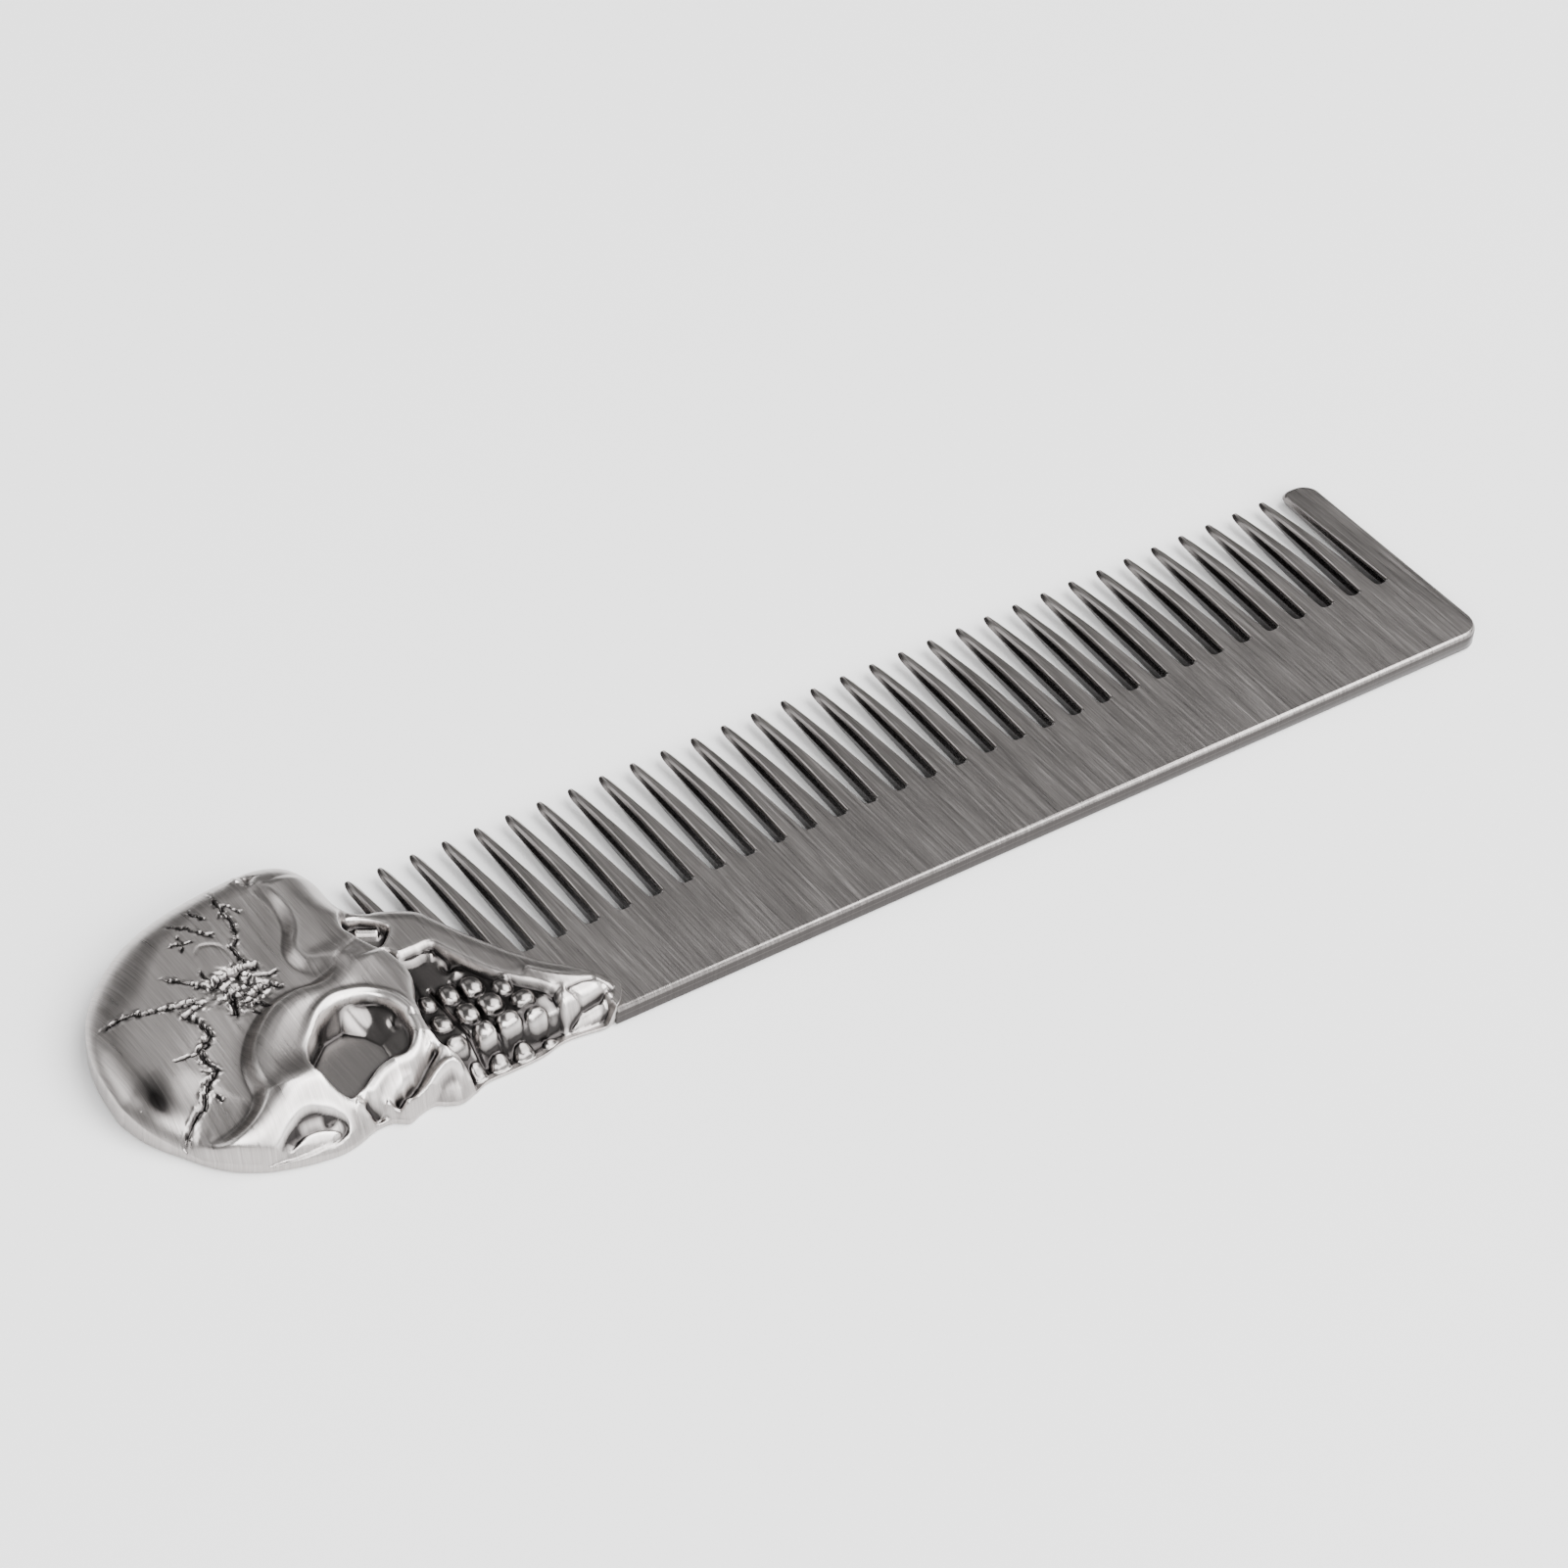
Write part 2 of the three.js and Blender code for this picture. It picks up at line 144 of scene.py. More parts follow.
# Cracks in the crown: a jagged line and its half width.
CRACKS = [
    ([(-27.9, 8), (-25.9, 7.8), (-24.2, 7.0), (-22.3, 6.2), (-20.8, 6.1), (-19.3, 5.5)], 0.2),
    ([(-21.3, 9.5), (-19.8, 8), (-19, 7.3), (-18.3, 6.8)], 0.16),
    ([(-19.3, 5.6), (-20.1, 5.3), (-21.8, 5.1), (-21, 3.9), (-21.1, 2.3), (-22.7, 1.2), (-22.9, 0.3),
      (-22.4, -0.9), (-23.6, -1.8), (-25, -3.2), (-26.4, -3.9), (-27.7, -4.9), (-28.6, -6)], 0.2),
    ([(-22.9, 1.1), (-24.1, 1.0), (-25, 1.3)], 0.09),
    ([(-22.6, -0.9), (-23.8, -0.6)], 0.09),
    ([(-14.5, 7.6), (-14.3, 8.8), (-14.3, 10.2), (-13.1, 11.2), (-12.8, 12.6), (-12.9, 14.2), (-12.3, 17.5)], 0.15),
    ([(-14.8, 11.6), (-15.8, 12.6), (-16.8, 13.8), (-17.7, 15.1)], 0.13),
    ([(-14.6, 13.7), (-15.4, 15.6)], 0.16),
    ([(-13.6, 13.4), (-12.4, 14.6), (-11.4, 13.2)], 0.12),
    ([(-19, 12.5), (-17.8, 12.2), (-16.8, 12)], 0.1),
    ([(-18.3, 11.2), (-17.8, 12.2), (-17.6, 13.2)], 0.1),
    ([(-18.6, 6.4), (-17.2, 7.3), (-15.6, 7.4), (-14.2, 7.7), (-13.2, 7.2)], 0.3),
    ([(-18.2, 3.2), (-17.4, 4.7), (-16.9, 6)], 0.26),
    ([(-16.9, 5.4), (-15.4, 5), (-13.6, 5.3), (-13, 4.4)], 0.2),
    ([(-16.6, 3.4), (-16, 2.6)], 0.12),
    ([(-15.8, 6.2), (-14.4, 6.7), (-13.2, 6.2), (-12.2, 6.3)], 0.13),
    ([(-16.4, 4.7), (-15.3, 3.7), (-15, 2.6)], 0.13),
    ([(-17.6, 6.4), (-18.3, 8), (-18.1, 8.9)], 0.12),
    ([(-15.9, 6.8), (-15.3, 8.4)], 0.12),
    ([(-24, -3), (-23.4, -3.8)], 0.12),
]
LOOP_SCAR = [(-17.6, 10.4), (-16.6, 11.2), (-15.2, 10.6), (-14.9, 9), (-15.6, 7.9), (-16.8, 8.4)]

# Teeth of the skull: middle, half width and half length of each bead, and its rise.
BEADS = [
    (-3.4, -2.2, 0.8, 0.95, 0.55), (-3.6, -4.7, 1.0, 1.0, 0.6), (-3.75, -7.2, 1.15, 0.9, 0.7),
    (-2.8, -9.1, 0.8, 0.9, 0.65), (-1.35, -2.2, 0.95, 1.2, 0.75), (-1.2, -4.8, 1.05, 1.25, 0.85),
    (-1.05, -7.2, 1.05, 1.1, 0.9), (-0.75, -9.1, 1.05, 0.8, 0.85), (0.75, -2.3, 1.1, 1.25, 0.8),
    (0.95, -4.8, 1.2, 1.3, 0.95), (1.25, -7.15, 1.2, 1.1, 0.9), (1.6, -9.1, 1.05, 0.85, 0.85),
    (2.9, -3.6, 0.85, 1.05, 0.6), (3.6, -5.6, 1.15, 1.0, 0.75), (3.7, -7.6, 1.1, 0.95, 0.75),
    (4.2, -9.1, 0.8, 0.6, 0.6),
]
BITE_LINES = [
    [(-2.35, -0.9), (-2.45, -4.3), (-2.3, -7.3), (-1.85, -9.6)],
    [(-0.35, -1.0), (-0.2, -5.4), (0.05, -8), (0.45, -9.8)],
]


# ---- drawing with whole arrays --------------------------------------------------------------------
def ramp(t):
    """0 below t = 0, 1 above t = 1, and the smooth cubic 3t^2 - 2t^3 between."""
    t = np.clip(t, 0.0, 1.0)
    return t * t * (3 - 2 * t)


def flow(points, closed=False, steps=6):
    """A smooth line through the points: a Catmull-Rom spline, each span cut into equal steps."""
    p = np.asarray(points, float)
    if closed:
        a, b, c, d = np.roll(p, 1, 0), p, np.roll(p, -1, 0), np.roll(p, -2, 0)
    else:
        longer = np.vstack([2 * p[0] - p[1], p, 2 * p[-1] - p[-2]])
        a, b, c, d = longer[:-3], longer[1:-2], longer[2:-1], longer[3:]
    t = np.linspace(0, 1, steps, endpoint=False)[:, None, None]
    q = 0.5 * (2 * b + (c - a) * t + (2 * a - 5 * b + 4 * c - d) * t**2 + (3 * b - a - 3 * c + d) * t**3)
    q = q.transpose(1, 0, 2).reshape(-1, 2)
    return q if closed else np.vstack([q, p[-1:]])


def away(x, y, line, closed=False, far=1e9):
    """Distance from each point to the nearest place on a line of straight pieces, and how far along that is."""
    best = np.full(x.shape, float(far))
    along = np.zeros(x.shape)
    start = line if closed else line[:-1]
    end = np.roll(line, -1, 0) if closed else line[1:]
    low, high = line.min(0) - far, line.max(0) + far
    near = (x > low[0]) & (x < high[0]) & (y > low[1]) & (y < high[1])
    px, py, found, place = x[near], y[near], best[near], along[near]
    for i, ((ax, ay), (bx, by)) in enumerate(zip(start, end)):
        dx, dy = bx - ax, by - ay
        t = np.clip(((px - ax) * dx + (py - ay) * dy) / (dx * dx + dy * dy + 1e-12), 0, 1)
        gap = np.hypot(px - ax - t * dx, py - ay - t * dy)
        closer = gap < found
        found[closer] = gap[closer]
        place[closer] = (i + t[closer]) / len(start)
    best[near], along[near] = found, place
    return best, along


def inside(x, y, loop):
    """True where a point lies within the closed loop, by counting the edges that a ray to +x crosses."""
    odd = np.zeros(x.shape, bool)
    for (ax, ay), (bx, by) in zip(loop, np.roll(loop, -1, 0)):
        if ay == by:
            continue
        crosses = (ay > y) != (by > y)
        odd ^= crosses & (x < ax + (y - ay) * (bx - ax) / (by - ay))
    return odd


def depth_in(x, y, points, far=6.0, rounded=True):
    """Distance to the closed loop through the points, smooth or straight: above 0 inside it, below 0 outside."""
    loop = flow(points, closed=True) if rounded else np.asarray(points, float)
    gap, _ = away(x, y, loop, closed=True, far=far)
    return np.where(inside(x, y, loop), gap, -gap)


def past(x, y, points, side, far=6.0):
    """Distance to a smooth open line: above 0 on the side that the further corners shut in, below 0 beyond it."""
    line = flow(points)
    gap, _ = away(x, y, line, far=far)
    return np.where(inside(x, y, np.vstack([line, side])), gap, -gap)


def ridge(x, y, points, width):
    """A rounded ridge of height 1 along a smooth line: exp(-(distance / width)^2), fading at both ends."""
    gap, along = away(x, y, flow(points), far=3.5 * width)
    return np.exp(-((gap / width) ** 2)) * ramp(along * 8 + 0.35) * ramp((1 - along) * 8 + 0.35)


def shards(x, y, size, seed):
    """Broken ground: each point takes the height and tilt, -1 to 1, of the nearest of a jittered field of seeds."""
    dice = np.random.default_rng(seed)
    count = 128
    shift = dice.uniform(-0.4, 0.4, (count, count, 2))
    plane = dice.uniform(-1, 1, (count, count, 3))
    i, j = np.floor(x / size).astype(int), np.floor(y / size).astype(int)
    nearest = np.full(x.shape, 9.0)
    height = np.zeros(x.shape)
    for a in (-1, 0, 1):
        for b in (-1, 0, 1):
            u, v = (i + a) % count, (j + b) % count
            dx = x / size - (i + a + 0.5 + shift[u, v, 0])
            dy = y / size - (j + b + 0.5 + shift[u, v, 1])
            gap = np.hypot(dx, dy)
            closer = gap < nearest
            nearest[closer] = gap[closer]
            tilted = plane[u, v, 0] + plane[u, v, 1] * dx + plane[u, v, 2] * dy
            height[closer] = tilted[closer]
    return height


# ---- the relief ---------------------------------------------------------------------------------
CROWN = 4.75  # height of the casting's face inside its shoulder
LIP = 0.4  # the least height of its edge over the flat back, and of its edge on the blade over that
LIP_ON_BLADE = 1.95
TEMPLE_SINK = 0.9
BROW_SWELL = 0.8
JAW_HEIGHT = 2.5
JAW_ROUNDING = 1.25
JAW_DROP = 0.9  # how far the jaw lies below the cheek on the face's near side
MOUTH_SINK = 0.85
HOLLOW_FLOOR = 2.75


def on_blade(x, y):
    """1 where the casting lies on top of the blade, 0 where it reaches down to the back."""
    return np.maximum(ramp((x + 2.2) / 1.2) * ramp((y + 8.6) / 1.2), ramp((x - 9.2) / 1.1))


def dome(x, y, inward):
    """The casting without its features: an elliptic shoulder up from the rim, straighter on the face's near side,
    then a slow swell over the crown."""
    near_side = ramp((x + 26) / 9) * ramp((-3.5 - y) / 4)
    rim = 0.5 + 0.5 * ramp((-15 - x) / 7) + 1.5 * ramp((y + 6) / 9)
    rim += (2.65 - rim) * on_blade(x, y)
    width = 3.4 + 2.1 * ramp((-19 - x) / 6) + 0.8 * ramp((y - 8) / 5) + 0.6 * near_side
    t = np.clip(inward / width, 0, 1)
    round_rise = (np.sqrt(1 - (0.94 - 0.94 * t) ** 2) - 0.341) / 0.659
    rise = round_rise + (t * (1.55 - 0.55 * t) - round_rise) * 0.85 * near_side
    return rim + (CROWN - rim) * rise + 0.5 * np.exp(-(((x + 15) / 11) ** 2) - ((y - 5) / 12) ** 2)


def relief(x, y, inward, soften):
    """Height of the casting's face above the back, how far each point is out of the brush's reach, 0 to 1, and
    how much patina and painted shade it has besides its hollows'. soften evens out a field's creases where the points
    are a grid."""
    z = dome(x, y, inward)

    # The temple is sunken: a firm edge under the brow and along the forehead, and a slow rise to the crown.
    face = soften(past(x, y, TEMPLE_EDGE, FACE_SIDE, far=30))
    reach = ramp((18.5 - y) / 4) * ramp((x + 31) / 6)
    reach *= 1 - 0.6 * np.exp(-(((x + 9.2) / 1.8) ** 2) - ((y - 4.3) / 1.8) ** 2)
    temple = ramp(0.5 - face / 1.5) * (1 - ramp((0.66 * y - 0.75 * x - 13) / 8)) * reach
    z -= TEMPLE_SINK * temple

    # The brow swells just past that edge and falls away slowly towards the eye.
    swell = ramp(0.35 + face / 2.8) * np.exp(-np.clip(face - 1.6, 0, None) / 3.0)
    swell *= ramp((6.5 - y) / 3) * ramp((inward - 1) / 4) * (1 - ramp((x + 8) / 5))
    z += BROW_SWELL * soften(swell)

    # The jaw lies lower than the cheek, with its own rounded band along the outline.
    band = JAW_HEIGHT + JAW_ROUNDING * np.sqrt(1 - (1 - np.clip(inward / 2.0, 0.02, 1)) ** 2)
    near_side = ramp((-4.0 - y) / 4.5)
    band = band * (1 - near_side) + np.minimum(band, z - JAW_DROP) * near_side
    jaw = ramp(0.5 + past(x, y, JAW_EDGE, JAW_SIDE) / 0.7)
    z += (np.minimum(band, z) - z) * jaw

    for points, width, height in RIDGES:
        z += height * ridge(x, y, points, width) * ramp(inward / 0.5)

    z, socket = eye(x, y, z)
    z, dish = far_eye(x, y, z, ramp(inward / 0.6))
    z = chin(x, y, z)

    hollow = ramp(0.5 + depth_in(x, y, CHEEK_HOLLOW) / 0.5)
    z += (np.minimum(z, HOLLOW_FLOOR) - z) * hollow
    z += 0.55 * ridge(x, y, [(-4, 7.9), (-2.2, 6.9)], 0.42)

    z, bite = mouth(x, y, z, inward)
    z, broken = cracks(x, y, z)
    z = np.maximum(z, LIP + LIP_ON_BLADE * on_blade(x, y))

    # Patina in the mouth, the cracks, the jaw and the sockets; painted shade low on the temple, and a painted
    # dark reflection on the shoulder.
    painted_dark_reflection = np.exp(-(((x + 27.9) / 1.2) ** 2) - ((y + 1.2) / 2.7) ** 2) * ramp((inward - 0.45) / 0.9)
    # Painted shade over the temple's low, near-left part.
    painted_temple_shade = temple * ramp((-17 - x) / 4)
    dark = 0.08 * (bite + jaw) + 0.18 * broken + 0.07 * socket + 0.12 * dish * ramp(inward / 0.8)
    dark += 0.05 * painted_temple_shade + 0.32 * painted_dark_reflection
    unbrushed = np.maximum.reduce([0.3 * temple, socket, hollow, bite, broken])
    return z, np.clip(unbrushed, 0, 1), dark


def eye(x, y, z):
    """The near socket: planed walls lean out from a flat floor, less steeply on the nose's side, to a raised rim."""
    d = depth_in(x, y, EYE)
    z = z + 0.3 * np.exp(-(((d + 0.45) / 0.4) ** 2)) * ramp((x + 17) / 5)
    outside = np.clip(-depth_in(x, y, EYE_FLOOR, rounded=False), 0, None)
    steep = 1.9 - 1.35 * ramp((x + 11.6) / 3.2)
    floor = 3.05 + 0.03 * (x + 12) + steep * outside
    floor -= 0.3 * np.exp(-(((x + 7.5) / 0.4) ** 2) - ((y + 3.5) / 0.6) ** 2)
    cut = ramp(0.5 + (d - 0.15) / 0.45)
    return z + (np.minimum(floor, z) - z) * cut, cut


def far_eye(x, y, z, rim_fade):
    """The far socket, seen edge on: a shallow dish, whose share comes back too, with a lens-shaped lower lid
    standing in it."""
    d = depth_in(x, y, FAR_EYE)
    dish = ramp(0.35 + d / 0.3)
    z = z - 0.5 * dish
    lens = depth_in(x, y, [(-21.4, -9.75), (-19.6, -9.25), (-17.8, -9.3), (-16.4, -9.8), (-18, -10.3), (-20, -10.2)])
    z = z + 0.4 * rim_fade * ramp(0.4 + lens / 0.3)
    dish *= 1 - ramp(0.4 + lens / 0.3)
    z = z - 0.35 * np.exp(-(((x + 20.1) / 0.55) ** 2) - ((y + 8.95) / 0.35) ** 2)
    return z - 0.35 * np.exp(-(((x + 16.9) / 0.5) ** 2) - ((y + 8.95) / 0.3) ** 2), dish


def chin(x, y, z):
    """Two planed facets on the chin's near side, with fine grooves round them."""
    for corners, height in (
        ([(7.2, -6.9), (7.9, -8.05), (10.6, -7.9), (9.8, -7.1)], 0.14),
        ([(6.5, -8.75), (7.7, -8.35), (9.7, -8.4), (9.7, -9.0), (7.3, -9.15)], 0.12),
    ):
        d = depth_in(x, y, corners, rounded=False)
        z = z + height * ramp(d / 0.12 + 0.5) - 0.22 * np.exp(-(((d + 0.16) / 0.12) ** 2))
    return z - 0.5 * np.exp(-((x - 6.2) / 0.45) ** 2 - ((y + 6.5) / 0.4) ** 2)


def mouth(x, y, z, inward):
    """The recess of the mouth: a fold under the cheek, smooth gums, and tight rows of beads with grooves between."""
    sunk = ramp(0.5 + past(x, y, MOUTH_EDGE, MOUTH_SIDE) / 0.75) * ramp(0.5 + past(x, y, JAW_EDGE, JAW_SIDE) / 0.5)
    z = z - MOUTH_SINK * sunk * ramp(inward / 1.2)
    z = z + 0.34 * ridge(x, y, [(-3.2, 3.2), (-1.9, 2.7), (-0.7, 2.8), (0.2, 2.3)], 0.42)
    z = z - 0.5 * np.exp(-(((x - 0.5) / 0.5) ** 2) - ((y - 0.7) / 0.6) ** 2)
    z = z + 0.35 * np.exp(-(((x - 0.5) / 0.5) ** 2) - ((y + 0.35) / 0.4) ** 2)
    for cx, cy, wide, long, rise in BEADS:
        r = (np.abs(x - cx) / (0.92 * wide)) ** 2.2 + (np.abs(y - cy) / (0.9 * long)) ** 2.2
        z = z + rise * np.clip(1 - r, 0, None) ** 0.55 * ramp(inward / 0.3)
    for line in BITE_LINES:
        gap, _ = away(x, y, flow(line), far=1.0)
        z = z - 0.3 * np.exp(-((gap / 0.14) ** 2)) * ramp(inward / 0.6)
    return z, sunk


def cracks(x, y, z):
    """Jagged channels: each line is knocked about by broken ground, sunk in its middle and lifted at its lips, and
    the ground is shattered where they meet."""
    knock = 0.14 * shards(x, y, 0.6, 1), 0.14 * shards(x, y, 0.6, 2)
    chips = shards(x, y, 0.42, 3)
    broken = np.zeros(x.shape)
    for line, width in CRACKS:
        gap, along = away(x + knock[0], y + knock[1], np.asarray(line, float), far=6 * width)
        ends = ramp(along * 7 + 0.15) * ramp((1 - along) * 7 + 0.15)
        channel = np.exp(-((gap / (0.8 * width)) ** 2)) * ends
        lips = np.exp(-(((gap - 1.5 * width) / (0.7 * width)) ** 2)) * ends
        z = z - 1.2 * min(width, 0.22) * channel + (0.3 * lips + 0.25 * channel) * width * chips + 0.15 * width * lips
        broken = np.maximum(broken, np.exp(-((gap / (2 * width)) ** 2)) * ends)
    shattered = ramp(1.5 - 1.1 * np.hypot((x + 16.2) / 2.5, (y - 5.6) / 2.1))
    z = z + shattered * (0.11 * chips - 0.12) - 0.05 * ridge(x, y, LOOP_SCAR, 0.2)
    return z, np.maximum(broken, 0.8 * shattered)


# ---- meshes ---------------------------------------------------------------------------------------
def piece_from(name, points_mm, faces, flat_faces=()):
    """A mesh object from points in the blade's frame. faces are index lists; flat ones keep a hard edge."""
    mesh = bpy.data.meshes.new(name)
    every = list(faces) + [list(f) for f in flat_faces]
    mesh.from_pydata(((np.asarray(points_mm) + ORIGIN) * MM).tolist(), [], every)
    smooth = np.ones(len(every), bool)
    smooth[len(every) - len(flat_faces):] = False
    mesh.polygons.foreach_set("use_smooth", smooth)
    mesh.validate()
    mesh.update()
    piece = bpy.data.objects.new(name, mesh)
    bpy.context.scene.collection.objects.link(piece)
    return piece


def give(piece, name, values):
    """Stores one number per vertex under a name that the piece's material reads."""
    layer = piece.data.attributes.new(name, "FLOAT", "POINT")
    layer.data.foreach_set("value", np.asarray(values, np.float32))


GRID = 0.102  # spacing of the relief's points
RIM_UNBRUSHED = 0.25  # how far the brush misses the casting's rim
HEM = np.array([0.0, 0.03, 0.08, 0.15, 0.24, 0.34, 0.45])  # how far each ring beside the outline stands in


def skull_relief():
    """The casting: a hem of rings in from the outline, a square grid of points within it, each lifted to the
    relief's height, a wall down from the outline, and a flat back with the tang's pocket let into it."""
    loop = even_loop(flow(OUTLINE, closed=True, steps=12), GRID)
    low, high = loop.min(0) - 3 * GRID, loop.max(0) + 3 * GRID
    x, y = np.meshgrid(np.arange(low[0], high[0], GRID), np.arange(low[1], high[1], GRID))
    d, along = away(x, y, loop, closed=True)
    d = np.where(inside(x, y, loop), d, -d)
    lowest = np.minimum.reduce([d[:-1, :-1], d[1:, :-1], d[:-1, 1:], d[1:, 1:]])
    cells = lowest > HEM[-1] + 0.4 * GRID
    z, shaded, dark = relief(x, y, np.maximum(d, 0), lambda field: blurred(blurred(field, 4), 4))
    # Patina in the hollows, plus the painted shade and painted dark reflection that relief() hands back.
    patina_and_painted_shade = (blurred(z, 5) - z) * ramp(d / 0.9) + dark

    used = np.zeros(x.shape, bool)
    for a in (0, 1):
        for b in (0, 1):
            used[a:used.shape[0] - 1 + a, b:used.shape[1] - 1 + b] |= cells
    number = np.full(x.shape, -1)
    number[used] = np.arange(used.sum())
    quads = np.stack([number[:-1, :-1], number[:-1, 1:], number[1:, 1:], number[1:, :-1]], -1)[cells]
    points = np.stack([x, y, z], -1)[used]
    inner_rim = rim_loop(quads)

    # The hem's rings, outermost first, joined to the grid's rim by a strip of triangles.
    n = len(loop)
    side = np.roll(loop, -1, 0) - np.roll(loop, 1, 0)
    inward = np.stack([-side[:, 1], side[:, 0]], 1) / np.linalg.norm(side, axis=1)[:, None]
    hem_xy = (loop[None] + inward[None] * HEM[:, None, None]).reshape(-1, 2)
    hem_in = np.repeat(HEM, n)
    hem_z, hem_shaded, _ = relief(hem_xy[:, 0], hem_xy[:, 1], hem_in, lambda field: field)
    base = len(points)
    points = np.vstack([points, np.column_stack([hem_xy, hem_z])])
    rings = base + np.arange(len(HEM) * n).reshape(len(HEM), n)
    hem = [ring_strip(outer, inner)[:, ::-1] for outer, inner in zip(rings, rings[1:])]
    strip = stitched(rings[-1], inner_rim, along[used][inner_rim] * n)

    shaded = np.maximum(shaded, RIM_UNBRUSHED * ramp(1 - d / 1.2))
    hem_shaded = np.maximum(hem_shaded, RIM_UNBRUSHED)
    marks = {
        "patina_and_painted_shade": np.concatenate([patina_and_painted_shade[used], np.zeros(len(hem_z))]),
        "unbrushed": np.concatenate([shaded[used], hem_shaded]),
    }
    return close_below(points, [quads, *hem], strip, rings[0], marks)


def even_loop(loop, spacing):
    """The closed line cut anew into equal pieces of about the given length."""
    closed = np.vstack([loop, loop[:1]])
    run = np.concatenate([[0], np.cumsum(np.linalg.norm(np.diff(closed, axis=0), axis=1))])
    at = np.linspace(0, run[-1], int(run[-1] / spacing), endpoint=False)
    return np.column_stack([np.interp(at, run, closed[:, 0]), np.interp(at, run, closed[:, 1])])


def blurred(z, reach):
    """Mean of each value and its neighbours within reach steps both ways."""
    for axis in (0, 1):
        pad = [(reach + 1, reach) if i == axis else (0, 0) for i in (0, 1)]
        total = np.cumsum(np.pad(z, pad, mode="edge"), axis)
        n = z.shape[axis]
        ahead = np.take(total, np.arange(2 * reach + 1, 2 * reach + 1 + n), axis)
        z = (ahead - np.take(total, np.arange(n), axis)) / (2 * reach + 1)
    return z


def rim_loop(quads):
    """The open edge of a sheet of faces as one ring of point numbers, found by doubling a run of steps."""
    edges = np.concatenate([quads[:, [i, (i + 1) % 4]] for i in range(4)])
    size = quads.max() + 1
    there = edges[:, 0] * size + edges[:, 1]
    back = edges[:, 1] * size + edges[:, 0]
    rim = edges[~np.isin(there, back)]
    hop = np.arange(size)
    hop[rim[:, 0]] = rim[:, 1]
    ring = rim[:1, 0]
    while len(ring) < len(rim):
        ring = np.concatenate([ring, hop[ring]])
        hop = hop[hop]
    return ring[: len(rim)]


def ring_strip(upper, lower):
    """Faces between two rings of the same count, the first on top."""
    return np.stack([upper, lower, np.roll(lower, -1), np.roll(upper, -1)], 1)


def stitched(outer, inner, place):
    """Triangles between two rings that turn the same way. place says where on the outer ring, in steps, each
    point of the inner one lies: an edge of either ring is joined to the other's point that it has come level with."""
    n, m = len(outer), len(inner)
    first = np.argmin(place)
    inner, place = np.roll(inner, -first), np.roll(place, -first)
    step = (np.diff(place) + n / 2) % n - n / 2
    place = np.maximum.accumulate(np.concatenate([[place[0]], place[0] + np.cumsum(step)]))
    i, j = np.arange(n), np.arange(m)
    middle = 0.5 * (place + np.append(place[1:], place[0] + n))
    level = np.searchsorted(middle, i + 0.5) % m
    outward = np.stack([outer[i], outer[(i + 1) % n], inner[level]], 1)
    level = np.searchsorted(i + 0.5, middle) % n
    return np.concatenate([outward, np.stack([inner[(j + 1) % m], inner[j], outer[level]], 1)])


# Rings of the casting's wall: the share of the way down, and how far each stands in from the outline.
WALL_RINGS = ((0.28, 0.0), (0.55, 0.0), (0.8, 0.04), (0.93, 0.13), (1.0, 0.3))


def close_below(points, sheets, strip, rim, marks):
    """Walls from the rim down to the back, or to the blade's face where the jaw lies on the teeth, and the back."""
    n = len(rim)
    edge = points[rim]
    over_blade = (edge[:, 0] > -TOOTH_ROOT - FIT_GAP) & (edge[:, 1] > -8.0) | (edge[:, 0] > TANG_SHOULDER)
    foot = np.where(over_blade, PLATE + FIT_GAP, 0.0)
    inward = np.roll(edge[:, :2], -1, 0) - np.roll(edge[:, :2], 1, 0)
    inward = np.stack([-inward[:, 1], inward[:, 0]], 1)
    inward /= np.linalg.norm(inward, axis=1)[:, None]

    rings = [rim]
    for share, inset in WALL_RINGS:
        inset = np.where(over_blade, 0.3 * inset, inset)
        z = edge[:, 2] + (foot - edge[:, 2]) * share
        rings.append(np.arange(n) + len(points))
        points = np.vstack([points, np.column_stack([edge[:, :2] + inward * inset[:, None], z])])
    walls = [ring_strip(upper, lower) for upper, lower in zip(rings, rings[1:])]

    # The pocket's edge runs from where the outline leaves the blade above the jaw to the shoulder under the chin.
    bottom = rings[-1]
    starts = np.flatnonzero(over_blade & ~np.roll(over_blade, 1))[0]
    bottom, over_blade = np.roll(bottom, -starts), np.roll(over_blade, -starts)
    high_run, low_run = bottom[over_blade], bottom[~over_blade]
    left, right = -TOOTH_ROOT - FIT_GAP, TANG_SHOULDER - FIT_GAP
    corners = np.array([
        (right, TANG_BOTTOM - FIT_GAP), (TANG_END - FIT_GAP, TANG_BOTTOM - FIT_GAP),
        (TANG_END - FIT_GAP, TANG_TOP + FIT_GAP), (left, TANG_TOP + FIT_GAP),
    ])
    upper = np.arange(4) + len(points)
    points = np.vstack([points, np.column_stack([corners, np.full(4, PLATE + FIT_GAP)])])
    lower = np.arange(4) + len(points)
    points = np.vstack([points, np.column_stack([corners, np.zeros(4)])])
    ceiling = [*high_run[::-1], *upper]
    floor = [*low_run[::-1], *lower[::-1]]
    top_line = [high_run[0], *upper, high_run[-1]]
    low_line = [low_run[-1], *lower, low_run[0]]
    pocket = [[top_line[i], low_line[i], low_line[i + 1], top_line[i + 1]] for i in range(5)]
    faces = np.concatenate([*sheets, *walls]).tolist() + strip.tolist()
    piece = piece_from("skull_relief", points, faces, [ceiling, floor, *pocket])
    for name, values in marks.items():
        full = np.full(len(points), values[-1])
        full[: len(values)] = values
        give(piece, name, full)
    return piece


# ---- blade ------------------------------------------------------------------------------------------
def arc(cx, cy, r, start, end, steps):
    """Points of a circular arc, both ends included, angles in degrees."""
    a = np.radians(np.linspace(start, end, steps + 1))
    return np.column_stack([cx + r * np.cos(a), cy + r * np.sin(a)])


